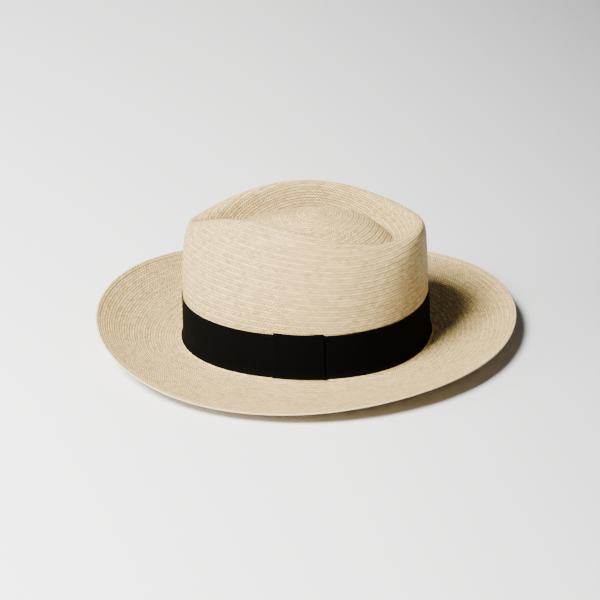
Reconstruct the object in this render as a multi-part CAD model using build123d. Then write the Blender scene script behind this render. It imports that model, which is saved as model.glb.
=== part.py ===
"""Panama hat: straw body woven in one, ribbon band with a flat knot, and a leather sweatband inside.

Millimetres. The hat stands on the flat ring where brim and crown meet, at Z = 0. The front of the
crown faces -Y and the wearer's left, with the ribbon knot, is +X. The turn angle runs from 0 at the
front through the wearer's left to pi at the back. The profile parameter runs along the straw from
the crown button to the brim edge, one unit for each of the six stretches of the profile.
"""

import os
from math import cos, pi, radians, sin

from build123d import *

# straw body: overall sizes
STRAW = 1.2
BAND_FOOT = 3.0
BUTTON_RADIUS = 3.0
BUTTON_HEIGHT = 106.0 + BAND_FOOT
BUTTON_Y = 10.5
BRIM_HALF_WIDTH = 162.8
BRIM_HALF_LENGTH = 172.1
BRIM_SQUARENESS = 2.06
HEAD_SQUARENESS = 2.17
HEAD_Y = -0.1
WALL_LEAN = 0.4
WALL_TOP = 38.1 + BAND_FOOT
WALL_HALF_WIDTH = 86.3
WALL_HALF_LENGTH = 100.4
FLARE_START = 12.0
FLARE_GROWTH = 0.7
BREAK_REACH = 6.2
RIM_Y = 1.9
RIM_HALF_LENGTH = 94.7
VALLEY_SHARE = 0.76
VALLEY_HEIGHT = 83.0 + BAND_FOOT
DOME_FULLNESS = 0.86
DOME_FOOT = 0.10

# heights and outlines round the hat: mean value, then the harmonics of the turn angle
RIM_HALF_WIDTHS = (46.6, -19.7, -4.4)
RIM_HEIGHTS = (103.1, 0.2, -8.35, -3.3, 0.9)
WALL_TOP_HEIGHTS = (0.0, 0.7, 0.35)
BRIM_HEIGHTS = (13.8, 3.3, 6.1, 2.0, -0.6)
SHOULDER_SHARES = (0.85, -0.05, 0.2)

# fullness of the curves between the rings, as shares of the way from one ring to the next
VALLEY_SPREAD = 0.75
RIM_INNER_TURN = 0.62
SHOULDER_BASE = 3.2
SHOULDER_SPREAD = 0.27
WALL_TAPER = 0.04
WALL_HEAD_BASE = 4.0
WALL_HEAD_DROP = 0.95
FLARE_FALL = 0.62
FLARE_RUN = 0.75
BRIM_NEAR = 0.34
BRIM_FAR = 0.68
BRIM_CURL = 0.36

# ribbon band and knot
RIBBON = 0.6
RIBBON_GAP = 0.15
RIBBON_TOP = 3.02
RIBBON_FOOT = 4.62
RIBBON_BUTT = 0.6
RIBBON_STEPS = 9
KNOT_TURN = radians(98.5)
KNOT_HALF_TURN = radians(12.0)
KNOT_LIFT = 0.15
KNOT_STEPS = 8
KNOT_ABOVE = 0.012
KNOT_BELOW = 0.02
KNOT_TOP_FOLD = 0.016
KNOT_FOOT_FOLD = 0.035

# sweatband, its reed and its tape
LEATHER = 0.9
LEATHER_LIFT = 2.3
LEATHER_TOP = 3.10
LEATHER_FOOT = 4.36
LEATHER_BUTT = 0.5
LEATHER_STEPS = 7
TAPE = 0.25
TAPE_LIFT = 1.4
TAPE_TOP = 3.98
TAPE_BELOW_REED = 0.1
TAPE_STEPS = 6
REED_RADIUS = 0.7
REED_AT = 4.47
REED_LIFT = 2.7

# maker's label and the small bow at the back of the sweatband
LABEL = 0.25
LABEL_WIDTH = 22.0
LABEL_X = -34.0
LABEL_TOP = 3.4
LABEL_FOOT = 3.9
LABEL_STEPS = 4
BOW_LENGTH = 12.0
BOW_DEPTH = 3.6
BOW_HEIGHT = 5.0
BOW_Y = 94.6
BOW_Z = 8.5
BOW_RIBBON = 0.4
BOW_TIE = 3.2
BOW_GAP = 0.15
TIE_OVER_DEPTH = 0.4
TIE_OVER_HEIGHT = 0.6
TIE_ROUNDING = 0.5

# threads: each running seam is one ring of thread, the tacks are single stitches
THREAD_RADIUS = 0.16
HEM_THREAD_AT = 5.935
TAPE_THREAD_AT = 4.28
FIXING_THREAD_AT = 4.07
TACK = (0.4, 1.6, 0.3)
TACKS = 12
TACK_BELOW_TOP = 0.04
TACK_ABOVE_FOOT = 0.06
KNOT_TACK_SHARE = 0.9
SEAM_STITCH = (3.0, 0.4, 0.3)
SEAM_STITCHES = 10
SEAM_SLANT = 30.0
SEAM_START = LEATHER_TOP + 0.08
SEAM_END = LEATHER_FOOT - 0.22
CLEAR = 0.04

STATIONS = 24
STRETCHES = 6
STRETCH_STEPS = 8
FINE = 1e-3
KNOT_SIDE = (60, 120)
BACK_END = (60, 120)
BLOCK_HEIGHT = 200


def wave(turn, *terms):
    """Sum of a mean value and its first few harmonics round the hat."""
    return sum(term * cos(order * turn) for order, term in enumerate(terms))


def power(value, squareness):
    """Signed power that squares off an ellipse."""
    size = abs(value) ** (2 / squareness)
    return size if value >= 0 else -size


def oval(turn, half_width, half_length, middle_y, squareness, height):
    """Point of a squared oval ring."""
    x = half_width * power(sin(turn), squareness)
    y = middle_y - half_length * power(cos(turn), squareness)
    return Vector(x, y, height)


def button(turn):
    """Small flat start of the weave on top of the centre dome."""
    x = BUTTON_RADIUS * sin(turn)
    y = BUTTON_Y - BUTTON_RADIUS * cos(turn)
    return Vector(x, y, BUTTON_HEIGHT)


def rim(turn):
    """Teardrop ridge round the top of the crown."""
    x = sin(turn) * wave(turn, *RIM_HALF_WIDTHS)
    y = RIM_Y - RIM_HALF_LENGTH * cos(turn)
    return Vector(x, y, BAND_FOOT + wave(turn, *RIM_HEIGHTS))


def valley(turn):
    """Lowest line of the channel between centre dome and ridge."""
    middle = Vector(0, BUTTON_Y, 0)
    flat = Vector(rim(turn).X, rim(turn).Y, 0)
    place = middle + (flat - middle) * VALLEY_SHARE
    return Vector(place.X, place.Y, VALLEY_HEIGHT)


def wall_head(turn):
    """Straw at the height of the ribbon's upper edge."""
    height = WALL_TOP + wave(turn, *WALL_TOP_HEIGHTS)
    middle = HEAD_Y + WALL_LEAN
    return oval(turn, WALL_HALF_WIDTH, WALL_HALF_LENGTH, middle, HEAD_SQUARENESS, height)


def wall_foot(turn):
    """Straw where the wall starts to flare towards the brim."""
    width = WALL_HALF_WIDTH + FLARE_GROWTH
    length = WALL_HALF_LENGTH + FLARE_GROWTH
    return oval(turn, width, length, HEAD_Y, HEAD_SQUARENESS, FLARE_START)


def brim_break(turn):
    """Flat ring on which the hat stands."""
    width = WALL_HALF_WIDTH + BREAK_REACH
    length = WALL_HALF_LENGTH + BREAK_REACH
    return oval(turn, width, length, HEAD_Y, HEAD_SQUARENESS, STRAW)


def brim_edge(turn):
    """Outer edge of the brim, curled up more at the front and back than at the sides."""
    height = BAND_FOOT + wave(turn, *BRIM_HEIGHTS)
    return oval(turn, BRIM_HALF_WIDTH, BRIM_HALF_LENGTH, 0, BRIM_SQUARENESS, height)


def level(start, end):
    """Horizontal part of the way from start to end."""
    return Vector(end.X - start.X, end.Y - start.Y, 0)


def bezier(share, *points):
    """Point at the given share of a cubic curve."""
    rest = 1 - share
    first, second, third, last = points
    outer = first * rest**3 + last * share**3
    return outer + second * (3 * share * rest**2) + third * (3 * share**2 * rest)


def stretch(turn, index):
    """Four control points of one stretch of the straw's upper surface."""
    middle, low, top = button(turn), valley(turn), rim(turn)
    head, foot, ring, edge = wall_head(turn), wall_foot(turn), brim_break(turn), brim_edge(turn)
    across = level(low, head).normalized()
    if index == 0:
        way = level(middle, low)
        return middle, middle + way * DOME_FULLNESS, low - way * DOME_FOOT, low
    if index == 1:
        way = level(low, top)
        return low, low + way * VALLEY_SPREAD, top - across * (RIM_INNER_TURN * way.length), top
    if index == 2:
        reach = level(top, head).length
        drop = Vector(0, 0, WALL_HEAD_BASE + WALL_HEAD_DROP * reach)
        rise = Vector(0, 0, top.Z - head.Z)
        above = head + level(head, top) * WALL_TAPER + rise - drop
        shoulder = (SHOULDER_BASE + SHOULDER_SPREAD * reach) * wave(turn, *SHOULDER_SHARES)
        return top, top + across * shoulder, above, head
    if index == 3:
        way = foot - head
        return head, head + way / 3, foot - way / 3, foot
    if index == 4:
        fall = Vector(0, 0, FLARE_FALL * (ring.Z - foot.Z))
        return foot, foot + fall, ring - level(foot, ring) * FLARE_RUN, ring
    way = level(ring, edge)
    rise = Vector(0, 0, BRIM_CURL * (edge.Z - ring.Z))
    return ring, ring + way * BRIM_NEAR, ring + way * BRIM_FAR + rise, edge


def straw(turn, place):
    """Point of the straw's upper surface."""
    index = min(int(place), STRETCHES - 1)
    return bezier(place - index, *stretch(turn, index))


def facing(turn, place):
    """Directions round the hat, down the profile and out of the straw."""
    before, after = max(place - FINE, 0), min(place + FINE, STRETCHES)
    along = (straw(turn + FINE, place) - straw(turn - FINE, place)).normalized()
    down = (straw(turn, after) - straw(turn, before)).normalized()
    return along, down, down.cross(along).normalized()


def lifted(turn, place, lift):
    """Point at a distance from the straw's upper surface, outwards when positive."""
    return straw(turn, place) + facing(turn, place)[2] * lift


def places(first, last, steps):
    """Evenly spaced profile parameters."""
    return [first + (last - first) * step / steps for step in range(steps + 1)]


def ring_of(section):
    """Closed ring lofted through the sections of one half and mirrored to the other."""
    wires = [section(pi * step / STATIONS) for step in range(STATIONS + 1)]
    half = Solid.make_loft(wires)
    return half.fuse(half.mirror(Plane.YZ))


def strip_section(turn, first, last, steps, inner_lift, outer_lift):
    """Cross-section of a layer that follows the straw."""
    outer = [lifted(turn, place, outer_lift) for place in places(first, last, steps)]
    inner = [lifted(turn, place, inner_lift) for place in places(first, last, steps)]
    edges = [
        Edge.make_spline(outer),
        Edge.make_line(outer[-1], inner[-1]),
        Edge.make_spline(inner[::-1]),
        Edge.make_line(inner[0], outer[0]),
    ]
    return Wire(edges)


def straw_section(turn):
    """Brim and crown in one skin, with one edge above and one below for each stretch."""
    upper = [Edge.make_bezier(*stretch(turn, index)) for index in range(STRETCHES)]
    lower = []
    for index in range(STRETCHES):
        points = [lifted(turn, place, -STRAW) for place in places(index, index + 1, STRETCH_STEPS)]
        lower.append(Edge.make_spline(points))
    start = Edge.make_line(upper[0] @ 0, lower[0] @ 0)
    end = Edge.make_line(upper[-1] @ 1, lower[-1] @ 1)
    return Wire([*upper, end, *lower, start])


def ribbon_section(turn):
    """Band of ribbon over the wall and the start of the flare."""
    outer = RIBBON_GAP + RIBBON
    return strip_section(turn, RIBBON_TOP, RIBBON_FOOT, RIBBON_STEPS, RIBBON_GAP, outer)


def leather_section(turn):
    """Sweatband standing inside the wall."""
    inner = -LEATHER_LIFT - LEATHER
    return strip_section(turn, LEATHER_FOOT, LEATHER_TOP, LEATHER_STEPS, inner, -LEATHER_LIFT)


def tape_section(turn):
    """Tape that runs up between straw and leather from its fold over the reed."""
    foot = REED_AT + TAPE_BELOW_REED
    return strip_section(turn, TAPE_TOP, foot, TAPE_STEPS, -TAPE_LIFT - TAPE, -TAPE_LIFT)


def cord_ring(place, lift, radius):
    """Ring of round cord along the straw, such as the reed or the thread of a seam."""
    def section(turn):
        along = facing(turn, place)[0]
        return Wire(Edge.make_circle(radius, Plane(origin=lifted(turn, place, lift), z_dir=along)))
    return ring_of(section)


def label_section(turn):
    """Small label pasted to the inner face of the leather."""
    face = -LEATHER_LIFT - LEATHER - CLEAR
    return strip_section(turn, LABEL_TOP, LABEL_FOOT, LABEL_STEPS, face - LABEL, face)


def knot_section(turn):
    """Wrap of ribbon across the band, folded over its upper and lower edges."""
    inner = RIBBON_GAP + RIBBON + KNOT_LIFT
    outer = inner + RIBBON
    top, foot = RIBBON_TOP - KNOT_ABOVE, RIBBON_FOOT + KNOT_BELOW
    top_fold, foot_fold = top - KNOT_TOP_FOLD, foot + KNOT_FOOT_FOLD
    front = [lifted(turn, place, outer) for place in places(top_fold, foot_fold, KNOT_STEPS)]
    back = [lifted(turn, place, inner) for place in places(top, foot, KNOT_STEPS)]
    upper = [lifted(turn, place, RIBBON_GAP) for place in (top_fold, top)]
    lower = [lifted(turn, place, RIBBON_GAP) for place in (foot_fold, foot)]
    edges = [
        Edge.make_spline(front),
        Edge.make_line(front[-1], lower[0]),
        Edge.make_line(lower[0], lower[1]),
        Edge.make_line(lower[1], back[-1]),
        Edge.make_spline(back[::-1]),
        Edge.make_line(back[0], upper[1]),
        Edge.make_line(upper[1], upper[0]),
        Edge.make_line(upper[0], front[0]),
    ]
    return Wire(edges)


def stitch(turn, place, lift, size, slant=0.0):
    """One stitch lying on a face at the given lift; a negative lift puts it on an inner face."""
    along, down, out = facing(turn, place)
    side = CLEAR + size[2] / 2
    middle = lifted(turn, place, lift + (side if lift >= 0 else -side))
    plane = Plane(origin=middle, x_dir=along, z_dir=out).rotated((0, 0, slant))
    return plane * Box(*size)


def block(x_range, y_range):
    """Upright block used to cut a ring."""
    width, length = x_range[1] - x_range[0], y_range[1] - y_range[0]
    middle = ((x_range[0] + x_range[1]) / 2, (y_range[0] + y_range[1]) / 2, 0)
    return Pos(*middle) * Box(width, length, BLOCK_HEIGHT)


def bow_loop(side):
    """One loop of the back bow, seen from above as a flat teardrop."""
    reach = BOW_TIE / 2 + BOW_GAP + BOW_LENGTH / 2
    middle = Plane.XY.offset(BOW_Z - BOW_HEIGHT / 2) * Pos(side * reach, BOW_Y)
    outside = Ellipse(BOW_LENGTH / 2, BOW_DEPTH / 2)
    inside = Ellipse(BOW_LENGTH / 2 - BOW_RIBBON, BOW_DEPTH / 2 - BOW_RIBBON)
    return extrude(middle * (outside - inside), BOW_HEIGHT)


KNOT_Y = HEAD_Y - WALL_HALF_LENGTH * cos(KNOT_TURN)
KNOT_HALF_WIDTH = WALL_HALF_LENGTH * sin(KNOT_HALF_TURN)
RIBBON_FACE = RIBBON_GAP + RIBBON
LEATHER_FACE = -LEATHER_LIFT - LEATHER

ribbon = ring_of(ribbon_section)
ribbon -= block(KNOT_SIDE, (KNOT_Y - RIBBON_BUTT / 2, KNOT_Y + RIBBON_BUTT / 2))
knot = ring_of(knot_section)
knot &= block(KNOT_SIDE, (KNOT_Y - KNOT_HALF_WIDTH, KNOT_Y + KNOT_HALF_WIDTH))
leather = ring_of(leather_section)
leather -= block((-LEATHER_BUTT / 2, LEATHER_BUTT / 2), BACK_END)
label = ring_of(label_section)
label &= block((LABEL_X - LABEL_WIDTH / 2, LABEL_X + LABEL_WIDTH / 2), BACK_END)

tack_turns = [KNOT_TURN + 2 * pi * (index + 0.5) / TACKS for index in range(TACKS)]
tack_line = RIBBON_TOP + TACK_BELOW_TOP
ribbon_tacks = Compound([stitch(turn, tack_line, RIBBON_FACE, TACK) for turn in tack_turns])
knot_face = RIBBON_FACE + KNOT_LIFT + RIBBON
knot_tacks = Compound([
    stitch(KNOT_TURN + side * KNOT_HALF_TURN * KNOT_TACK_SHARE, place, knot_face, TACK)
    for side in (-1, 1)
    for place in (tack_line, RIBBON_FOOT - TACK_ABOVE_FOOT)
])
seam_places = places(SEAM_START, SEAM_END, SEAM_STITCHES)
seam_stitches = Compound([
    stitch(pi, place, LEATHER_FACE, SEAM_STITCH, SEAM_SLANT if index % 2 else -SEAM_SLANT)
    for index, place in enumerate(seam_places)
])
tie = Box(BOW_TIE, BOW_DEPTH + TIE_OVER_DEPTH, BOW_HEIGHT + TIE_OVER_HEIGHT)
tie = Pos(0, BOW_Y, BOW_Z) * tie

nodes = {
    "straw_body": ring_of(straw_section),
    "brim_hem_thread": cord_ring(HEM_THREAD_AT, CLEAR + THREAD_RADIUS, THREAD_RADIUS),
    "ribbon_band": ribbon,
    "ribbon_tacks": ribbon_tacks,
    "ribbon_knot": knot,
    "ribbon_knot_tacks": knot_tacks,
    "sweatband_leather": leather,
    "sweatband_reed": cord_ring(REED_AT, -REED_LIFT, REED_RADIUS),
    "sweatband_tape": ring_of(tape_section),
    "sweatband_tape_thread": cord_ring(
        TAPE_THREAD_AT, LEATHER_FACE - CLEAR - THREAD_RADIUS, THREAD_RADIUS),
    "sweatband_fixing_thread": cord_ring(
        FIXING_THREAD_AT, -TAPE_LIFT - TAPE - CLEAR - THREAD_RADIUS, THREAD_RADIUS),
    "sweatband_seam_stitches": seam_stitches,
    "back_bow_loops": Compound([bow_loop(-1), bow_loop(1)]),
    "back_bow_tie": fillet(tie.edges(), TIE_ROUNDING),
    "size_label": label,
}

os.makedirs("parts", exist_ok=True)
for name, shape in nodes.items():
    export_step(shape, f"parts/{name}.step")
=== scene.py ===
import math

import bpy
import numpy as np
from mathutils import Matrix, Vector


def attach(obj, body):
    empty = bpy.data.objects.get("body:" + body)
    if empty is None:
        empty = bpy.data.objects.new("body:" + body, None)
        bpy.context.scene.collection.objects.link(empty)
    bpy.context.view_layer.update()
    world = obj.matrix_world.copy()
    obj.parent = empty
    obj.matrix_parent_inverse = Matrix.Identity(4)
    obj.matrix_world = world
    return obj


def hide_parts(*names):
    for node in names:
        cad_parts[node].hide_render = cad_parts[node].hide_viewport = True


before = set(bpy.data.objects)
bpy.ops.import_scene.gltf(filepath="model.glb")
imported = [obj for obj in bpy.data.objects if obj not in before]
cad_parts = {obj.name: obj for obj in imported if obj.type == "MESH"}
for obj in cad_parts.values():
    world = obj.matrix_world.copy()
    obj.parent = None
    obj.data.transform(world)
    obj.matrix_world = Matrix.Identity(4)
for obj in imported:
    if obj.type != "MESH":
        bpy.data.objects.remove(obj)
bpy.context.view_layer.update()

# The hat body. One piece of toquilla straw, woven in rings from the button of the crown out to the
# brim, steamed over a block to the teardrop crown and turned under in a narrow hem at the edge.

STRAW = 0.0012
BAND_FOOT = 0.0030
BUTTON_RADIUS = 0.0030
BUTTON_Y = 0.0105
BUTTON_HEIGHT = 0.1090
BRIM_HALF_WIDTH = 0.1628
BRIM_HALF_LENGTH = 0.1721
BRIM_SQUARENESS = 2.06
HEAD_SQUARENESS = 2.17
HEAD_Y = -0.0001
WALL_LEAN = 0.0004
WALL_TOP = 0.0411
WALL_HALF_WIDTH = 0.0863
WALL_HALF_LENGTH = 0.1004
FLARE_START = 0.0120
FLARE_GROWTH = 0.0007
BREAK_REACH = 0.0062
RIM_Y = 0.0019
RIM_HALF_LENGTH = 0.0947
VALLEY_SHARE = 0.76
VALLEY_HEIGHT = 0.0860

# Heights and outlines round the hat: mean value, then the harmonics of the turn angle.
RIM_HALF_WIDTHS = (0.0466, -0.0197, -0.0044)
RIM_HEIGHTS = (0.1031, 0.0002, -0.00835, -0.0033, 0.0009)
WALL_TOP_HEIGHTS = (0.0, 0.0007, 0.00035)
BRIM_HEIGHTS = (0.0138, 0.0033, 0.0061, 0.0020, -0.0006)
SHOULDER_SHARES = (0.85, -0.05, 0.2)

# Fullness of the curves between the rings, as shares of the way from one ring to the next.
DOME_FULLNESS = 0.86
DOME_FOOT = 0.10
VALLEY_SPREAD = 0.75
RIM_INNER_TURN = 0.62
SHOULDER_BASE = 0.0032
SHOULDER_SPREAD = 0.27
WALL_TAPER = 0.04
WALL_HEAD_BASE = 0.004
WALL_HEAD_DROP = 0.95
FLARE_FALL = 0.62
FLARE_RUN = 0.75
BRIM_NEAR = 0.34
BRIM_FAR = 0.68
BRIM_CURL = 0.36

# The profile runs from place 0 at the button to place 6 at the brim edge, one unit for each curve.
CURVES = 6
BREAK_AT = 5.0
HEM_START = 5.935
HEM_GROOVE = 0.00022
HEM_RISE = 0.00035
LAST_PLACE = 5.99

ROUND_STEPS = 360
TOP_STEPS = (17, 21, 29, 5, 11)
UNDER_STEPS = (9, 3, 17, 13, 11)
SMALL = 1e-4


def wave(turn, *terms):
    """Mean value and first harmonics round the hat."""
    return sum(term * np.cos(order * turn) for order, term in enumerate(terms))


def power(value, squareness):
    """Signed power that squares off an ellipse."""
    return np.sign(value) * np.abs(value) ** (2 / squareness)


def place_at(x, y, z):
    """Rows of points from their coordinates."""
    return np.stack(np.broadcast_arrays(x, y, z), axis=-1).astype(float)


def oval(turn, width, length, middle_y, squareness, height):
    """Squared oval ring."""
    x = width * power(np.sin(turn), squareness)
    y = middle_y - length * power(np.cos(turn), squareness)
    return place_at(x, y, height)


def profile_rings(turn):
    """The seven rings that the straw's upper surface passes through."""
    button = oval(turn, BUTTON_RADIUS, BUTTON_RADIUS, BUTTON_Y, 2, BUTTON_HEIGHT)
    rim_x = np.sin(turn) * wave(turn, *RIM_HALF_WIDTHS)
    rim_y = RIM_Y - RIM_HALF_LENGTH * np.cos(turn)
    rim = place_at(rim_x, rim_y, BAND_FOOT + wave(turn, *RIM_HEIGHTS))
    valley_y = BUTTON_Y + VALLEY_SHARE * (rim_y - BUTTON_Y)
    valley = place_at(VALLEY_SHARE * rim_x, valley_y, VALLEY_HEIGHT)

    def head_ring(growth, middle_y, height):
        width, length = WALL_HALF_WIDTH + growth, WALL_HALF_LENGTH + growth
        return oval(turn, width, length, middle_y, HEAD_SQUARENESS, height)

    head = head_ring(0, HEAD_Y + WALL_LEAN, WALL_TOP + wave(turn, *WALL_TOP_HEIGHTS))
    foot = head_ring(FLARE_GROWTH, HEAD_Y, FLARE_START)
    ring = head_ring(BREAK_REACH, HEAD_Y, STRAW)
    lift = BAND_FOOT + wave(turn, *BRIM_HEIGHTS)
    edge = oval(turn, BRIM_HALF_WIDTH, BRIM_HALF_LENGTH, 0, BRIM_SQUARENESS, lift)
    return button, valley, rim, head, foot, ring, edge


def flat_way(start, end):
    """Horizontal way between two rings."""
    way = end - start
    way[..., 2] = 0
    return way


def size_of(way):
    """Lengths of rows of vectors, kept as a column."""
    return np.linalg.norm(way, axis=-1, keepdims=True)


def profile_curves(turn):
    """Control points of the six cubic curves of the profile."""
    button, valley, rim, head, foot, ring, edge = profile_rings(turn)
    up = np.array([0.0, 0.0, 1.0])
    across = flat_way(valley, head)
    across = across / size_of(across)
    dome, inner = flat_way(button, valley), flat_way(valley, rim)
    reach = size_of(flat_way(rim, head))
    fullness = wave(turn, *SHOULDER_SHARES)[..., None]
    shoulder = rim + across * (SHOULDER_BASE + SHOULDER_SPREAD * reach) * fullness
    above = head + flat_way(head, rim) * WALL_TAPER
    above = above + up * (rim - head)[..., 2:] - up * (WALL_HEAD_BASE + WALL_HEAD_DROP * reach)
    wall = foot - head
    fall = up * (FLARE_FALL * (ring - foot)[..., 2:])
    way = flat_way(ring, edge)
    curl = up * (BRIM_CURL * (edge - ring)[..., 2:])
    rim_inside = rim - across * (RIM_INNER_TURN * size_of(inner))
    return [
        (button, button + dome * DOME_FULLNESS, valley - dome * DOME_FOOT, valley),
        (valley, valley + inner * VALLEY_SPREAD, rim_inside, rim),
        (rim, shoulder, above, head),
        (head, head + wall / 3, foot - wall / 3, foot),
        (foot, foot + fall, ring - flat_way(foot, ring) * FLARE_RUN, ring),
        (ring, ring + way * BRIM_NEAR, ring + way * BRIM_FAR + curl, edge),
    ]


def skin(turns, places, lift=0.0):
    """Grid of points on the straw's upper surface, lifted along its normal."""
    turn = np.asarray(turns, float)[:, None]
    place = np.asarray(places, float)[None, :]
    index = np.minimum(place.astype(int), CURVES - 1)
    share = (place - index)[..., None]
    rest = 1 - share

    def controls(at):
        chosen = [np.zeros((at.shape[0], place.shape[1], 3)) for _ in range(4)]
        for number, curve in enumerate(profile_curves(at)):
            here = (index == number)[..., None]
            for store, point in zip(chosen, curve):
                store += np.where(here, point, 0)
        return chosen

    def surface(a, b, c, d):
        return a * rest**3 + 3 * b * share * rest**2 + 3 * c * share**2 * rest + d * share**3

    a, b, c, d = controls(turn)
    points = surface(a, b, c, d)
    down = 3 * ((b - a) * rest**2 + 2 * (c - b) * share * rest + (d - c) * share**2)
    along = surface(*controls(turn + SMALL)) - surface(*controls(turn - SMALL))
    out = np.cross(down, along)
    out = out / np.maximum(size_of(out), 1e-12)
    lift = np.broadcast_to(np.asarray(lift, float), points.shape[:2])[..., None]
    return points + out * lift


def round_turns(count):
    """Turn angles of a closed ring."""
    return np.arange(count) * 2 * math.pi / count


def new_piece(name, points, faces, uvs):
    """Smooth mesh object at the origin with a UV for each face corner."""
    mesh = bpy.data.meshes.new(name)
    mesh.from_pydata(np.asarray(points).tolist(), [], faces)
    layer = mesh.uv_layers.new(name="pattern")
    layer.data.foreach_set("uv", np.asarray(uvs, np.float32).ravel())
    mesh.polygons.foreach_set("use_smooth", [True] * len(mesh.polygons))
    mesh.update()
    piece = bpy.data.objects.new(name, mesh)
    bpy.context.scene.collection.objects.link(piece)
    return piece


def grid_faces(grid, pattern, wrap_rows, wrap_columns):
    """Quads and UVs of a grid; the pattern goes one step past the grid where the grid wraps."""
    rows, columns = grid.shape[:2]
    faces, uvs = [], []
    for row in range(rows if wrap_rows else rows - 1):
        for column in range(columns if wrap_columns else columns - 1):
            corners = ((row, column), (row, column + 1), (row + 1, column + 1), (row + 1, column))
            faces.append(tuple(down % rows * columns + side % columns for down, side in corners))
            uvs += [pattern[corner] for corner in corners]
    return faces, uvs


straw_turns = round_turns(ROUND_STEPS)
top_places = np.concatenate([
    *(curve + np.arange(steps) / steps for curve, steps in enumerate(TOP_STEPS)),
    np.linspace(BREAK_AT, HEM_START - 0.02, 20),
    HEM_START + np.array([-0.008, 0, 0.008, 0.02]),
    np.linspace(HEM_START + 0.035, LAST_PLACE, 4)])
hem_above = np.interp(
    top_places,
    [HEM_START - 0.02, HEM_START - 0.008, HEM_START, HEM_START + 0.014, 5.97, LAST_PLACE],
    [0, -0.0001, -HEM_GROOVE, HEM_RISE, HEM_RISE, HEM_RISE * 0.6])
under_places = np.concatenate([
    [LAST_PLACE], np.linspace(5.97, BREAK_AT, 18)[:-1],
    *(BREAK_AT - curve - np.arange(steps) / steps for curve, steps in enumerate(UNDER_STEPS)), [0.0]])
hem_below = np.interp(under_places, [HEM_START, 5.97, LAST_PLACE], [0, -0.0001, 0.0001])
upper = skin(straw_turns, top_places, hem_above)
outer_edge = skin(straw_turns, [CURVES], -0.3 * STRAW)
under = skin(straw_turns, under_places, hem_below - STRAW)
straw_grid = np.concatenate([upper, outer_edge, under], axis=1)

WALL_ROWS = 90
BRIM_ROWS = 32
CENTRE_ROW = -1.1


def weave_rows(turns, places):
    """Weave ring numbers along the profile, with whole numbers at the break and the brim edge."""
    steps = np.linspace(0, CURVES, 241)
    lengths = size_of(np.diff(skin(turns, steps), axis=1))[..., 0]
    length = np.concatenate([np.zeros((len(turns), 1)), np.cumsum(lengths, axis=1)], axis=1)
    to_break = length[:, steps.searchsorted(BREAK_AT)][:, None]
    whole = length[:, -1][:, None]
    rows = np.where(
        length <= to_break, WALL_ROWS * length / to_break,
        WALL_ROWS + BRIM_ROWS * (length - to_break) / (whole - to_break))
    return np.stack([np.interp(places, steps, row) for row in rows])


ring_numbers = weave_rows(straw_turns, np.concatenate([top_places, [CURVES], under_places]))
ring_numbers = np.concatenate([ring_numbers, ring_numbers[:1]])
shares = np.arange(ROUND_STEPS + 1) / ROUND_STEPS
straw_pattern = np.stack(np.broadcast_arrays(shares[:, None], ring_numbers), axis=-1)
faces, uvs = grid_faces(straw_grid, straw_pattern, True, False)
columns = straw_grid.shape[1]
points = np.concatenate([
    straw_grid.reshape(-1, 3), [straw_grid[:, 0].mean(axis=0), straw_grid[:, -1].mean(axis=0)]])
crown_centre, under_centre = len(points) - 2, len(points) - 1
for row in range(ROUND_STEPS):
    after = (row + 1) % ROUND_STEPS
    near, far = shares[row], shares[row + 1]
    faces.append((crown_centre, row * columns, after * columns))
    uvs += [(near, CENTRE_ROW), (near, 0), (far, 0)]
    faces.append((under_centre, after * columns + columns - 1, row * columns + columns - 1))
    uvs += [(near, CENTRE_ROW), (far, 0), (near, 0)]
straw_body = new_piece("straw_body", points, faces, uvs)


def node_group(name, inputs, outputs):
    """Empty shader group with its sockets."""
    group = bpy.data.node_groups.new(name, "ShaderNodeTree")
    for label, value in inputs.items():
        socket = group.interface.new_socket(label, in_out="INPUT", socket_type="NodeSocketFloat")
        socket.default_value = value
    for label in outputs:
        group.interface.new_socket(label, in_out="OUTPUT", socket_type="NodeSocketFloat")
    return group, group.nodes.new("NodeGroupInput"), group.nodes.new("NodeGroupOutput")


def maths(tree):
    """Function that adds a Math node to the tree and returns its output."""
    def do(operation, *values):
        node = tree.nodes.new("ShaderNodeMath")
        node.operation = operation
        for socket, value in zip(node.inputs, values):
            if isinstance(value, (int, float)):
                socket.default_value = value
            else:
                tree.links.new(value, socket)
        return node.outputs[0]
    return do


def pattern_axes(tree):
    """The two axes of the pattern laid on a piece."""
    uv = tree.nodes.new("ShaderNodeUVMap")
    uv.uv_map = "pattern"
    split = tree.nodes.new("ShaderNodeSeparateXYZ")
    tree.links.new(uv.outputs[0], split.inputs[0])
    return split.outputs[0], split.outputs[1]


def paired(tree, first, second):
    """Vector made from two values."""
    node = tree.nodes.new("ShaderNodeCombineXYZ")
    tree.links.new(first, node.inputs[0])
    tree.links.new(second, node.inputs[1])
    return node.outputs[0]


WEAVE = {
    "Wall strands": 250.0, "Brim strands": 190.0, "Growing rings": 28.0, "Fewest strands": 5.0,
    "Slant": 1.2, "Strand rounding": 1.7, "Ring rounding": 3.0, "Ring dip": 0.6,
    "Strand share": 0.6, "Ring share": 0.4, "Gap softness": 0.5,
    "Sheen bands round": 80.0, "Sheen bands down": 0.3, "Sheen band swing": 3.0,
    "Edge rows": 0.6, "Edge blend": 0.3}


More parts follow.
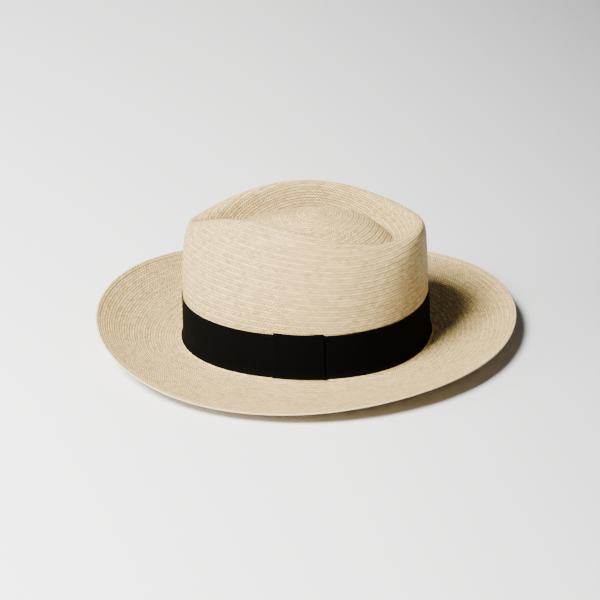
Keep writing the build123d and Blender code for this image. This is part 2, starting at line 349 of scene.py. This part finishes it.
def weave_group():
    """Herringbone straw weave: each ring of the weave slants the other way from the last. It also gives
    the masks for painted sheen bands along the rings, painted shade in the gaps between strands and a
    painted highlight on the hem.
    """
    group, inputs, out = node_group("straw weave", WEAVE, ("Height", "Gap", "Strand", "Sheen band", "Edge"))
    given = inputs.outputs
    do = maths(group)
    turn, ring = pattern_axes(group)

    number = do("FLOOR", ring)
    part = do("SUBTRACT", ring, number)
    middle = do("ADD", number, 0.5)
    growth = do("MINIMUM", do("DIVIDE", middle, given["Growing rings"]), 1.0)
    brim = do("DIVIDE", do("MAXIMUM", do("SUBTRACT", middle, float(WALL_ROWS)), 0.0), float(BRIM_ROWS))
    on_wall = do("MULTIPLY", given["Wall strands"], growth)
    on_brim = do("MULTIPLY", given["Brim strands"], brim)
    strands = do("MAXIMUM", do("ROUND", do("ADD", on_wall, on_brim)), given["Fewest strands"])

    even = do("MULTIPLY", do("MODULO", do("ADD", number, 2.0), 2.0), 2.0)
    slant = do("MULTIPLY", do("SUBTRACT", even, 1.0), given["Slant"])
    across = do("ADD", do("MULTIPLY", turn, strands), do("MULTIPLY", slant, do("SUBTRACT", part, 0.5)))
    strand = do("FLOOR", across)
    inside = do("SUBTRACT", across, strand)

    def rounding(value, sharpness):
        from_middle = do("ABSOLUTE", do("SUBTRACT", do("MULTIPLY", value, 2.0), 1.0))
        return do("POWER", from_middle, sharpness)

    round_strand = do("SUBTRACT", 1.0, rounding(inside, given["Strand rounding"]))
    ring_fall = do("MULTIPLY", rounding(part, given["Ring rounding"]), given["Ring dip"])
    round_ring = do("SUBTRACT", 1.0, ring_fall)
    strand_height = do("MULTIPLY", do("MULTIPLY", round_strand, round_ring), given["Strand share"])
    height = do("ADD", strand_height, do("MULTIPLY", round_ring, given["Ring share"]))
    # Mask of the gaps between strands and rings, used to paint shade into them.
    soft_strand = do("POWER", do("MAXIMUM", round_strand, 0.0), given["Gap softness"])
    soft_ring = do("POWER", do("MAXIMUM", round_ring, 0.0), given["Gap softness"])
    gap = do("SUBTRACT", 1.0, do("MULTIPLY", soft_strand, soft_ring))

    chance = group.nodes.new("ShaderNodeTexWhiteNoise")
    chance.noise_dimensions = "2D"
    group.links.new(paired(group, strand, number), chance.inputs["Vector"])
    # Painted sheen: lighter and darker bands along alternate rings, wavering with noise, stand in for
    # the light that the slanting strands catch.
    drift = group.nodes.new("ShaderNodeTexNoise")
    drift.inputs["Scale"].default_value = 1.0
    drift.inputs["Detail"].default_value = 1.0
    where = paired(
        group, do("MULTIPLY", turn, given["Sheen bands round"]), do("MULTIPLY", ring, given["Sheen bands down"]))
    group.links.new(where, drift.inputs["Vector"])
    wobble = do("MULTIPLY", do("SUBTRACT", drift.outputs["Fac"], 0.5), given["Sheen band swing"])
    sheen_ripple = do("SINE", do("ADD", do("MULTIPLY", ring, math.pi), wobble))
    # Painted highlight: mask over the last rows before the brim edge, where the hem is made lighter.
    hem_highlight_start = do("SUBTRACT", float(WALL_ROWS + BRIM_ROWS), given["Edge rows"])
    edge = do("DIVIDE", do("SUBTRACT", ring, hem_highlight_start), given["Edge blend"])

    results = {
        "Height": height, "Gap": gap, "Strand": chance.outputs["Value"],
        "Sheen band": do("ADD", do("MULTIPLY", sheen_ripple, 0.5), 0.5),
        "Edge": do("MINIMUM", do("MAXIMUM", edge, 0.0), 1.0)}
    for label, value in results.items():
        group.links.new(value, out.inputs[label])
    return group


def new_material(name, colour, roughness):
    """Material with its tree and its shader."""
    material = bpy.data.materials.new(name)
    material.use_nodes = True
    shader = material.node_tree.nodes["Principled BSDF"]
    shader.inputs["Base Color"].default_value = (*colour, 1)
    shader.inputs["Roughness"].default_value = roughness
    material.diffuse_color = (*colour, 1)
    return material, material.node_tree, shader


def use_group(tree, group):
    """Shader group placed in a tree."""
    node = tree.nodes.new("ShaderNodeGroup")
    node.node_tree = group
    return node


def ramp(tree, value, stops):
    """Colour ramp on a value."""
    node = tree.nodes.new("ShaderNodeValToRGB")
    elements = node.color_ramp.elements
    while len(elements) < len(stops):
        elements.new(0.5)
    for element, (at, colour) in zip(elements, stops):
        element.position = at
        element.color = (*colour, 1)
    tree.links.new(value, node.inputs[0])
    return node.outputs[0]


def mix(tree, kind, share, first, second):
    """Colour mix of two sockets or colours."""
    node = tree.nodes.new("ShaderNodeMix")
    node.data_type = "RGBA"
    node.blend_type = kind
    for socket, value in ((node.inputs[0], share), (node.inputs[6], first), (node.inputs[7], second)):
        if isinstance(value, tuple):
            socket.default_value = (*value, 1)
        elif isinstance(value, float):
            socket.default_value = value
        else:
            tree.links.new(value, socket)
    return node.outputs[2]


def noise_on(tree, scale, detail=2.0):
    """Noise on object coordinates."""
    where = tree.nodes.new("ShaderNodeTexCoord")
    node = tree.nodes.new("ShaderNodeTexNoise")
    node.inputs["Scale"].default_value = scale
    node.inputs["Detail"].default_value = detail
    tree.links.new(where.outputs["Object"], node.inputs["Vector"])
    return node.outputs["Fac"]


def bump(tree, shader, height, distance, strength=1.0):
    """Bump node into the shader's normal."""
    node = tree.nodes.new("ShaderNodeBump")
    node.inputs["Distance"].default_value = distance
    node.inputs["Strength"].default_value = strength
    tree.links.new(height, node.inputs["Height"])
    tree.links.new(node.outputs[0], shader.inputs["Normal"])


STRAND_TONES = [
    (0.0, (0.45, 0.325, 0.120)), (0.15, (0.54, 0.400, 0.155)), (0.5, (0.62, 0.468, 0.195)),
    (1.0, (0.74, 0.580, 0.265))]
PATCH_TONES = [(0.3, (0.96, 0.93, 0.87)), (0.7, (1.0, 0.99, 0.98))]
SHEEN_BAND_TONES = [(0.0, (0.90, 0.87, 0.81)), (1.0, (1.11, 1.13, 1.18))]
GAP_SHADE_TONES = [(0.12, (1, 1, 1)), (0.62, (0.34, 0.24, 0.11))]
# Lighter plain tone painted on the hem as a highlight.
HEM_HIGHLIGHT_TONE = (0.70, 0.54, 0.30)
HEM_HIGHLIGHT_SHARE = 0.8

straw_look, tree, shader = new_material("toquilla straw", (0.60, 0.45, 0.19), 0.52)
weave = use_group(tree, weave_group())
patches = noise_on(tree, 45.0, 3.0)
tone = ramp(tree, weave.outputs["Strand"], STRAND_TONES)
tone = mix(tree, "MULTIPLY", 0.8, tone, ramp(tree, patches, PATCH_TONES))
# Painted sheen bands multiply the tone along the rings.
tone = mix(tree, "MULTIPLY", 1.0, tone, ramp(tree, weave.outputs["Sheen band"], SHEEN_BAND_TONES))
# Painted shade: the gaps between the strands are darkened.
tone = mix(tree, "MULTIPLY", 0.95, tone, ramp(tree, weave.outputs["Gap"], GAP_SHADE_TONES))
# Painted highlight: the hem's rolled edge turns to one lighter plain tone.
hem_highlight_share = maths(tree)("MULTIPLY", weave.outputs["Edge"], HEM_HIGHLIGHT_SHARE)
tone = mix(tree, "MIX", hem_highlight_share, tone, HEM_HIGHLIGHT_TONE)
tree.links.new(tone, shader.inputs["Base Color"])
bump(tree, shader, weave.outputs["Height"], 0.0010)
shader.inputs["Specular IOR Level"].default_value = 0.3
straw_body.data.materials.append(straw_look)
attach(straw_body, "root")
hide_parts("straw_body")

# The ribbon band. Black ribbed ribbon, 38 mm wide, drawn tight round the foot of the crown with its
# ends meeting under the knot. It flares a little at its lower edge where the straw turns outwards.

RIBBON = 0.0006
RIBBON_GAP = 0.00015
RIBBON_FACE = RIBBON_GAP + RIBBON
RIBBON_TOP = 3.02
RIBBON_FOOT = 4.62
RIBBON_BUTT_TURN = 0.0035
KNOT_TURN = math.radians(98.5)
EDGE_SOFTNESS = 0.55


def face_outwards(piece):
    """Turns a closed mesh so that its faces point outwards."""
    mesh = piece.data
    mesh.calc_loop_triangles()
    volume = 0.0
    for triangle in mesh.loop_triangles:
        a, b, c = (mesh.vertices[index].co for index in triangle.vertices)
        volume += a.dot(b.cross(c))
    if volume < 0:
        mesh.flip_normals()


def tube_piece(name, grid, along, across, wrap_rows):
    """Closed piece from rings of points, with flat ends where its rows don't meet."""
    rows, columns = grid.shape[:2]
    pattern = np.stack(np.broadcast_arrays(along[:, None], across[None, :]), axis=-1)
    faces, uvs = grid_faces(grid, pattern, wrap_rows, True)
    if not wrap_rows:
        last = (rows - 1) * columns
        faces += [tuple(range(columns))[::-1], tuple(range(last, last + columns))]
        uvs += [(0.0, 0.0)] * (2 * columns)
    piece = new_piece(name, grid.reshape(-1, 3), faces, uvs)
    face_outwards(piece)
    return piece


def running_length(points):
    """Distance along a row of points, from 0 at the first."""
    return np.concatenate([[0], np.cumsum(np.linalg.norm(np.diff(points, axis=0), axis=1))])


def strip(name, turns, places, low, high, closed=True):
    """Band of even thickness along the straw, with softened edges and the pattern laid along it."""
    middle, soft = (low + high) / 2, (high - low) / 2 * EDGE_SOFTNESS
    grid = np.concatenate([
        skin(turns, places[:1], middle + soft), skin(turns, places[1:-1], high),
        skin(turns, places[-1:], middle + soft), skin(turns, places[-1:], middle - soft),
        skin(turns, places[1:-1][::-1], low), skin(turns, places[:1], middle - soft)], axis=1)
    line = skin(turns, [places.mean()], high)[:, 0]
    along = running_length(np.concatenate([line, line[:1]]))
    outer = running_length(skin(turns[:1], places, high)[0])
    across = np.concatenate([outer, [outer[-1]], [outer[-1]], outer[1:-1][::-1], [0], [0]])
    return tube_piece(name, grid, along, across, closed)


RIBS = {"Ribs per metre": 1600.0, "Warp per metre": 3100.0, "Along": 1.0, "Rib share": 0.8}


def rib_group():
    """Ribs of a grosgrain ribbon, across it or along it, with fine warp between them."""
    group, inputs, out = node_group("ribbon ribs", RIBS, ("Height", "Fibre"))
    given = inputs.outputs
    do = maths(group)
    length, width = pattern_axes(group)
    turned = do("SUBTRACT", 1.0, given["Along"])

    def folds(first, second, pitch):
        where = do("ADD", do("MULTIPLY", first, given["Along"]), do("MULTIPLY", second, turned))
        return do("ABSOLUTE", do("SINE", do("MULTIPLY", do("MULTIPLY", where, given[pitch]), math.pi)))

    rib = do("MULTIPLY", folds(length, width, "Ribs per metre"), given["Rib share"])
    warp_share = do("SUBTRACT", 1.0, given["Rib share"])
    warp = do("MULTIPLY", folds(width, length, "Warp per metre"), warp_share)
    group.links.new(do("ADD", rib, warp), out.inputs["Height"])
    group.links.new(noise_on(group, 900.0), out.inputs["Fibre"])
    return group


ribbon_ribs = rib_group()
FIBRE_TONES = [(0.3, (0.75, 0.75, 0.75)), (0.7, (1.0, 1.0, 1.0))]


def ribbon_material(name, dark, light, along, depth):
    """Ribbed ribbon in two close tones."""
    material, tree, shader = new_material(name, light, 0.85)
    ribs = use_group(tree, ribbon_ribs)
    ribs.inputs["Along"].default_value = along
    tone = ramp(tree, ribs.outputs["Height"], [(0.1, dark), (0.9, light)])
    fibre = ramp(tree, ribs.outputs["Fibre"], FIBRE_TONES)
    tree.links.new(mix(tree, "MULTIPLY", 0.7, tone, fibre), shader.inputs["Base Color"])
    bump(tree, shader, ribs.outputs["Height"], depth, 0.6)
    shader.inputs["Specular IOR Level"].default_value = 0.03
    return material


band_look = ribbon_material(
    "black ribbon", (0.0002, 0.0002, 0.0002), (0.0010, 0.0010, 0.0009), 1.0, 0.0002)
band_turns = np.linspace(
    KNOT_TURN + RIBBON_BUTT_TURN, KNOT_TURN + 2 * math.pi - RIBBON_BUTT_TURN, 400)
band_places = np.concatenate([
    [RIBBON_TOP, RIBBON_TOP + 0.012], np.linspace(RIBBON_TOP + 0.06, RIBBON_FOOT - 0.12, 16),
    [RIBBON_FOOT - 0.06, RIBBON_FOOT - 0.02, RIBBON_FOOT]])
ribbon_band = strip("ribbon_band", band_turns, band_places, RIBBON_GAP, RIBBON_FACE, closed=False)
ribbon_band.data.materials.append(band_look)
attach(ribbon_band, "root")
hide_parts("ribbon_band")

# The knot. A short length of the same ribbon laid flat across the join of the band, folded over both
# of the band's edges and tacked behind, so that its ribs run round the hat instead of upright.

KNOT_HALF_TURN = math.radians(10.4)
KNOT_LIFT = 0.00015
KNOT_LOW = RIBBON_FACE + KNOT_LIFT
KNOT_HIGH = KNOT_LOW + RIBBON
KNOT_ROWS = 61
KNOT_LENGTH = 0.0425
KNOT_WIDTH = 0.040
KNOT_WRAP = 0.084
FOLD_SWELL = 0.00022
FOLD_AT = 0.965
FOLD_REACH = 0.025
MIDDLE_SWELL = 0.00035
FOLD_SHARE = 0.55
CORNER_FLARE = 0.0016
FLARE_PLACES = (4.15, 4.65)
TOP_DIP = 0.0007
DIP_PLACES = (3.0, 3.3)


def knot_mesh():
    """Wrap with folded side edges that stand a little proud and turn in at the top and foot."""
    turns = np.linspace(KNOT_TURN - KNOT_HALF_TURN, KNOT_TURN + KNOT_HALF_TURN, KNOT_ROWS)
    places = np.concatenate([
        [RIBBON_TOP - 0.026, RIBBON_TOP - 0.012],
        np.linspace(RIBBON_TOP + 0.03, RIBBON_FOOT - 0.12, 16),
        [RIBBON_FOOT - 0.04, RIBBON_FOOT + 0.01, RIBBON_FOOT + 0.035]])
    side = np.linspace(-1, 1, KNOT_ROWS)[:, None]
    fold = FOLD_SWELL * np.exp(-((np.abs(side) - FOLD_AT) / FOLD_REACH) ** 2)
    swell = fold + MIDDLE_SWELL * (1 - side**2)
    grid = np.concatenate([
        skin(turns, places, KNOT_HIGH + swell),
        skin(turns, places[-1:] + 0.006, KNOT_HIGH * FOLD_SHARE),
        skin(turns, places[-1:] - 0.004, RIBBON_GAP),
        skin(turns, places[1:-1][::-1], KNOT_LOW),
        skin(turns, places[:1] + 0.006, RIBBON_GAP),
        skin(turns, places[:1] - 0.004, KNOT_HIGH * FOLD_SHARE)], axis=1)
    at = np.concatenate([
        places, places[-1:], places[-1:], places[1:-1][::-1], places[:1], places[:1]])
    grid[..., 1] += CORNER_FLARE * side**3 * np.interp(at, FLARE_PLACES, (0, 1)) ** 2
    grid[..., 2] -= TOP_DIP * (1 - side**2) * np.interp(at, DIP_PLACES, (1, 0))
    along = np.linspace(0, KNOT_LENGTH, KNOT_ROWS)
    across = np.linspace(0, KNOT_WRAP, grid.shape[1] + 1)
    across[:len(places)] = np.linspace(0, KNOT_WIDTH, len(places))
    return tube_piece("ribbon_knot", grid, along, across, False)


ribbon_knot = knot_mesh()
knot_look = ribbon_material(
    "black ribbon across", (0.0001, 0.0001, 0.0001), (0.0008, 0.0008, 0.0007), 0.0, 0.0002)
ribbon_knot.data.materials.append(knot_look)
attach(ribbon_knot, "root")
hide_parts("ribbon_knot")

# The sweatband. A strip of thin brown leather inside the head opening, closed at the back with a
# zigzag seam and top-stitched to a tape that carries a reed along its lower edge.

LEATHER_FACES = (-0.0032, -0.0023)
LEATHER_TOP = 3.10
LEATHER_FOOT = 4.36
LEATHER_BUTT_TURN = 0.0026
GRAIN_CELLS = 900.0
DRIFT_TONES = [(0.3, (0.20, 0.10, 0.045)), (0.7, (0.33, 0.18, 0.085))]
PORE_TONES = [(0.0, (0.6, 0.6, 0.6)), (0.5, (1.0, 1.0, 1.0))]


def grain_group():
    """Leather grain: small cells with fine pores and slow colour drift."""
    group, inputs, out = node_group("leather grain", {"Cells": GRAIN_CELLS}, ("Height", "Drift"))
    do = maths(group)
    where = group.nodes.new("ShaderNodeTexCoord")
    cells = group.nodes.new("ShaderNodeTexVoronoi")
    cells.feature = "DISTANCE_TO_EDGE"
    group.links.new(where.outputs["Object"], cells.inputs["Vector"])
    group.links.new(inputs.outputs["Cells"], cells.inputs["Scale"])
    pores = do("MINIMUM", do("MULTIPLY", cells.outputs["Distance"], 4.0), 1.0)
    group.links.new(pores, out.inputs["Height"])
    group.links.new(noise_on(group, 30.0), out.inputs["Drift"])
    return group


leather_look, tree, shader = new_material("brown leather", (0.30, 0.16, 0.075), 0.5)
grain = use_group(tree, grain_group())
drift_tone = ramp(tree, grain.outputs["Drift"], DRIFT_TONES)
pore_tone = ramp(tree, grain.outputs["Height"], PORE_TONES)
tree.links.new(mix(tree, "MULTIPLY", 0.8, drift_tone, pore_tone), shader.inputs["Base Color"])
bump(tree, shader, grain.outputs["Height"], 0.00025, 0.5)

leather_turns = np.linspace(math.pi + LEATHER_BUTT_TURN, 3 * math.pi - LEATHER_BUTT_TURN, 320)
leather_places = np.concatenate([
    [LEATHER_TOP, LEATHER_TOP + 0.012], np.linspace(LEATHER_TOP + 0.05, LEATHER_FOOT - 0.06, 12),
    [LEATHER_FOOT - 0.02, LEATHER_FOOT]])
sweatband = strip("sweatband_leather", leather_turns, leather_places, *LEATHER_FACES, closed=False)
sweatband.data.materials.append(leather_look)
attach(sweatband, "root")
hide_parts("sweatband_leather")

# The tape and the reed. A woven cotton tape is folded round a plastic reed and stands up between
# leather and straw; the reed keeps the edge of the opening round.

TAPE_FACES = (-0.00165, -0.0014)
TAPE_TOP = 3.98
TAPE_FOOT = 4.57
TAPE_TONES = [(0.1, (0.42, 0.38, 0.31)), (0.9, (0.62, 0.57, 0.48))]
REED_TONES = [(0.3, (0.62, 0.61, 0.56)), (0.7, (0.74, 0.73, 0.68))]

tape_look, tree, shader = new_material("cotton tape", (0.60, 0.55, 0.46), 0.9)
tape_weave = use_group(tree, ribbon_ribs)
tape_tone = ramp(tree, tape_weave.outputs["Height"], TAPE_TONES)
tree.links.new(tape_tone, shader.inputs["Base Color"])
bump(tree, shader, tape_weave.outputs["Height"], 0.0002, 0.6)
tape = strip("sweatband_tape", round_turns(300), np.linspace(TAPE_TOP, TAPE_FOOT, 8), *TAPE_FACES)
tape.data.materials.append(tape_look)
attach(tape, "root")
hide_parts("sweatband_tape")


def cover(node, look):
    """Gives a solid its better material."""
    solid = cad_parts[node]
    solid.data.materials.clear()
    solid.data.materials.append(look)


reed_look, tree, shader = new_material("reed plastic", (0.70, 0.69, 0.64), 0.4)
tree.links.new(ramp(tree, noise_on(tree, 60.0), REED_TONES), shader.inputs["Base Color"])
cover("sweatband_reed", reed_look)

# The threads. Each seam is a running row of short stitches: cream thread in the groove of the brim
# hem, tan thread on the foot of the leather and through tape and straw behind it.

BALL_SEGMENTS = 8
BALL_RINGS = 5


def thread_material(name, dark, light):
    """Twisted cotton thread."""
    material, tree, shader = new_material(name, light, 0.8)
    fuzz = noise_on(tree, 1500.0)
    tree.links.new(ramp(tree, fuzz, [(0.3, dark), (0.7, light)]), shader.inputs["Base Color"])
    bump(tree, shader, fuzz, 0.0001, 0.5)
    shader.inputs["Specular IOR Level"].default_value = 0.05
    return material


def stitch_tree():
    """Places stitches of one length at even spacing along the path that it is given."""
    tree = bpy.data.node_groups.new("stitch row", "GeometryNodeTree")
    face = tree.interface
    face.new_socket("Geometry", in_out="INPUT", socket_type="NodeSocketGeometry")
    for label, value in (("Spacing", 0.0042), ("Length", 0.003), ("Radius", 0.0002)):
        face.new_socket(label, in_out="INPUT", socket_type="NodeSocketFloat").default_value = value
    face.new_socket("Thread", in_out="INPUT", socket_type="NodeSocketMaterial")
    face.new_socket("Geometry", in_out="OUTPUT", socket_type="NodeSocketGeometry")
    nodes, links = tree.nodes, tree.links
    given, out = nodes.new("NodeGroupInput"), nodes.new("NodeGroupOutput")
    path = nodes.new("GeometryNodeMeshToCurve")
    links.new(given.outputs["Geometry"], path.inputs[0])
    points = nodes.new("GeometryNodeCurveToPoints")
    points.mode = "LENGTH"
    links.new(path.outputs[0], points.inputs[0])
    links.new(given.outputs["Spacing"], points.inputs["Length"])
    ball = nodes.new("GeometryNodeMeshUVSphere")
    ball.inputs["Segments"].default_value = BALL_SEGMENTS
    ball.inputs["Rings"].default_value = BALL_RINGS
    ball.inputs["Radius"].default_value = 1.0
    half = nodes.new("ShaderNodeMath")
    half.operation = "DIVIDE"
    half.inputs[1].default_value = 2.0
    links.new(given.outputs["Length"], half.inputs[0])
    shape = nodes.new("ShaderNodeCombineXYZ")
    links.new(given.outputs["Radius"], shape.inputs["X"])
    links.new(given.outputs["Radius"], shape.inputs["Y"])
    links.new(half.outputs[0], shape.inputs["Z"])
    put = nodes.new("GeometryNodeInstanceOnPoints")
    links.new(points.outputs[0], put.inputs["Points"])
    links.new(ball.outputs[0], put.inputs["Instance"])
    links.new(points.outputs["Rotation"], put.inputs["Rotation"])
    links.new(shape.outputs[0], put.inputs["Scale"])
    real = nodes.new("GeometryNodeRealizeInstances")
    links.new(put.outputs[0], real.inputs[0])
    paint = nodes.new("GeometryNodeSetMaterial")
    links.new(real.outputs[0], paint.inputs[0])
    links.new(given.outputs["Thread"], paint.inputs["Material"])
    links.new(paint.outputs[0], out.inputs[0])
    return tree


stitches = stitch_tree()


def stitch_row(name, place, lift, values):
    """Row of stitches round the hat that stands for one ring of thread."""
    line = skin(round_turns(2 * ROUND_STEPS), [place], lift)[:, 0]
    count = len(line)
    mesh = bpy.data.meshes.new(name)
    mesh.from_pydata(line.tolist(), [(index, (index + 1) % count) for index in range(count)], [])
    path = bpy.data.objects.new(name + " path", mesh)
    bpy.context.scene.collection.objects.link(path)
    modifier = path.modifiers.new("stitches", "NODES")
    modifier.node_group = stitches
    for item in stitches.interface.items_tree:
        if item.item_type == "SOCKET" and item.in_out == "INPUT" and item.name in values:
            modifier[item.identifier] = values[item.name]
    shown = bpy.context.evaluated_depsgraph_get()
    made = bpy.data.meshes.new_from_object(path.evaluated_get(shown), depsgraph=shown)
    row = bpy.data.objects.new(name, made)
    bpy.context.scene.collection.objects.link(row)
    bpy.data.objects.remove(path)
    made.polygons.foreach_set("use_smooth", [True] * len(made.polygons))
    return row


cream_thread = thread_material("cream thread", (0.60, 0.50, 0.36), (0.80, 0.72, 0.57))
tan_thread = thread_material("tan thread", (0.40, 0.30, 0.18), (0.62, 0.50, 0.34))
black_thread = thread_material("black thread", (0.003, 0.003, 0.003), (0.010, 0.010, 0.009))

hem_stitches = stitch_row(
    "hem_stitches", HEM_START, -0.00008,
    {"Spacing": 0.0036, "Length": 0.0030, "Radius": 0.00020, "Thread": cream_thread})
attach(hem_stitches, "root")
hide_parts("brim_hem_thread")

tape_stitches = stitch_row(
    "tape_stitches", 4.28, -0.00328,
    {"Spacing": 0.0040, "Length": 0.0029, "Radius": 0.00022, "Thread": tan_thread})
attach(tape_stitches, "root")
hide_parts("sweatband_tape_thread")

fixing_stitches = stitch_row(
    "fixing_stitches", 4.07, -0.00185,
    {"Spacing": 0.0060, "Length": 0.0042, "Radius": 0.00018, "Thread": tan_thread})
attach(fixing_stitches, "root")
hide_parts("sweatband_fixing_thread")

cover("ribbon_tacks", black_thread)
cover("ribbon_knot_tacks", black_thread)
cover("sweatband_seam_stitches", tan_thread)

# The bow and the label at the back. A short brown ribbon tied in a small flat bow covers the foot of
# the leather's seam; a plain pale label is pasted beside it.

BOW_Y = 0.0946
BOW_Z = 0.0085
BOW_HALF_HEIGHT = 0.0025
LOOP_X = 0.00775
LOOP_HALF_LENGTH = 0.006
LOOP_HALF_DEPTH = 0.0018
LOOP_TAPER = 0.35
LOOP_STEPS = 40
LOOP_LEVELS = 7
LOOP_STEP_LENGTH = 0.00065
BOW_RIBBON = 0.0004
PINCH = 0.25
PINCH_X = 0.002
PINCH_REACH = 0.003
TIE_TONES = [(0.3, (0.055, 0.03, 0.016)), (0.7, (0.11, 0.06, 0.034))]
LABEL_TONES = [(0.3, (0.70, 0.67, 0.59)), (0.7, (0.84, 0.82, 0.75))]


def bow_loops():
    """Two loops of narrow ribbon, standing on edge and pinched where they meet the tie."""
    angles = round_turns(LOOP_STEPS)[:, None]
    heights = np.linspace(-BOW_HALF_HEIGHT, BOW_HALF_HEIGHT, LOOP_LEVELS)
    levels = np.concatenate([heights, heights[::-1]])
    shrink = np.repeat([0.0, BOW_RIBBON], LOOP_LEVELS)
    depth = LOOP_HALF_DEPTH * (1 - LOOP_TAPER * (1 + np.cos(angles)) / 2)
    along = np.arange(LOOP_STEPS + 1) * LOOP_STEP_LENGTH
    across = np.concatenate([levels, levels[:1]])
    pattern = np.stack(np.broadcast_arrays(along[:, None], across[None, :]), axis=-1)
    points, faces, uvs = [], [], []
    for side in (-1, 1):
        x = side * (LOOP_X + (LOOP_HALF_LENGTH - shrink) * np.cos(angles))
        y = BOW_Y + (depth - shrink) * np.sin(side * angles)
        pinch = 1 - PINCH * np.exp(-((np.abs(x) - PINCH_X) / PINCH_REACH) ** 2)
        grid = place_at(x, y, BOW_Z + levels * pinch)
        quads, corners = grid_faces(grid, pattern, True, True)
        faces += [tuple(len(points) + index for index in quad) for quad in quads]
        points += list(grid.reshape(-1, 3))
        uvs += corners
    piece = new_piece("back_bow_loops", points, faces, uvs)
    face_outwards(piece)
    return piece


bow_look = ribbon_material("brown ribbon", (0.050, 0.026, 0.014), (0.105, 0.055, 0.030), 1.0, 0.0001)
loops = bow_loops()
loops.data.materials.append(bow_look)
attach(loops, "root")
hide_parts("back_bow_loops")

tie_look, tree, shader = new_material("brown ribbon tie", (0.09, 0.05, 0.03), 0.6)
tree.links.new(ramp(tree, noise_on(tree, 700.0), TIE_TONES), shader.inputs["Base Color"])
bump(tree, shader, noise_on(tree, 1200.0), 0.0001, 0.5)
cover("back_bow_tie", tie_look)

label_look, tree, shader = new_material("label cloth", (0.80, 0.78, 0.70), 0.8)
fuzz = noise_on(tree, 1100.0)
tree.links.new(ramp(tree, fuzz, LABEL_TONES), shader.inputs["Base Color"])
bump(tree, shader, fuzz, 0.0001, 0.4)
cover("size_label", label_look)

# The table and the light. A plain pale table with painted light fall-off: its colour is brighter towards
# the front and left, under the key lamp, and darker towards the back right; one large soft lamp high on
# the left and a dim fill.

TABLE_HALF = 9.0
TABLE_FALLOFF_SLOPE = (0.35, -0.94, 0.0)
TABLE_FALLOFF_FADE = 1.1
TABLE_FALLOFF_TONES = [(0.0, (0.26, 0.265, 0.28)), (0.5, (0.66, 0.66, 0.67)), (1.0, (0.90, 0.90, 0.92))]

corners = [(-TABLE_HALF, -TABLE_HALF, 0), (TABLE_HALF, -TABLE_HALF, 0),
           (TABLE_HALF, TABLE_HALF, 0), (-TABLE_HALF, TABLE_HALF, 0)]
floor_mesh = bpy.data.meshes.new("table")
floor_mesh.from_pydata(corners, [], [(0, 1, 2, 3)])
table = bpy.data.objects.new("table", floor_mesh)
bpy.context.scene.collection.objects.link(table)
table_look, tree, shader = new_material("pale table", (0.78, 0.78, 0.79), 0.9)
shader.inputs["Specular IOR Level"].default_value = 0.0
# Painted light fall-off across the table, darker away from the key lamp.
where = tree.nodes.new("ShaderNodeTexCoord")
slope = tree.nodes.new("ShaderNodeVectorMath")
slope.operation = "DOT_PRODUCT"
slope.inputs[1].default_value = TABLE_FALLOFF_SLOPE
tree.links.new(where.outputs["Object"], slope.inputs[0])
do = maths(tree)
falloff = do("ADD", do("MULTIPLY", slope.outputs["Value"], TABLE_FALLOFF_FADE), 0.5)
tree.links.new(ramp(tree, falloff, TABLE_FALLOFF_TONES), shader.inputs["Base Color"])
floor_mesh.materials.append(table_look)

world = bpy.data.worlds.new("studio")
bpy.context.scene.world = world
world.use_nodes = True
world.node_tree.nodes["Background"].inputs[0].default_value = (0.92, 0.94, 1.0, 1)
world.node_tree.nodes["Background"].inputs[1].default_value = 0.12

VIEW_TURN = math.radians(105.0)
VIEW_RISE = math.radians(24.57)
VIEW_ROLL = math.radians(-2.43)
DISTANCE = 2.0
aim = Vector((0, 0.0011, 0.053))
back = Vector((
    math.sin(VIEW_TURN) * math.cos(VIEW_RISE), -math.cos(VIEW_TURN) * math.cos(VIEW_RISE),
    math.sin(VIEW_RISE)))
up = Vector((0, 0, 1))
right = up.cross(back).normalized()
ahead = Vector((back.x, back.y, 0)).normalized()


def lamp(name, where, size, power, colour):
    """Square lamp that faces the hat."""
    light = bpy.data.lights.new(name, "AREA")
    light.shape = "SQUARE"
    light.size = size
    light.energy = power
    light.color = colour
    item = bpy.data.objects.new(name, light)
    item.location = where
    item.rotation_euler = (aim - where).to_track_quat("-Z", "Y").to_euler()
    bpy.context.scene.collection.objects.link(item)


lamp("key", aim - right * 1.08 + up * 1.9 + ahead * 1.05, 0.85, 335.0, (1.0, 0.98, 0.94))
lamp("fill", aim - right * 2.3 + up * 0.9 + ahead * 0.5, 1.2, 80.0, (1.0, 0.98, 0.95))

lens = bpy.data.cameras.new("camera")
lens.sensor_width = 36.0
lens.lens = 147.084
lens.shift_x = -0.00957
lens.shift_y = -0.04195
lens.clip_end = 60.0
camera = bpy.data.objects.new("camera", lens)
turn = Matrix((right, back.cross(right), back)).transposed() @ Matrix.Rotation(VIEW_ROLL, 3, "Z")
camera.matrix_world = Matrix.Translation(aim + back * DISTANCE) @ turn.to_4x4()
bpy.context.scene.collection.objects.link(camera)
bpy.context.scene.camera = camera
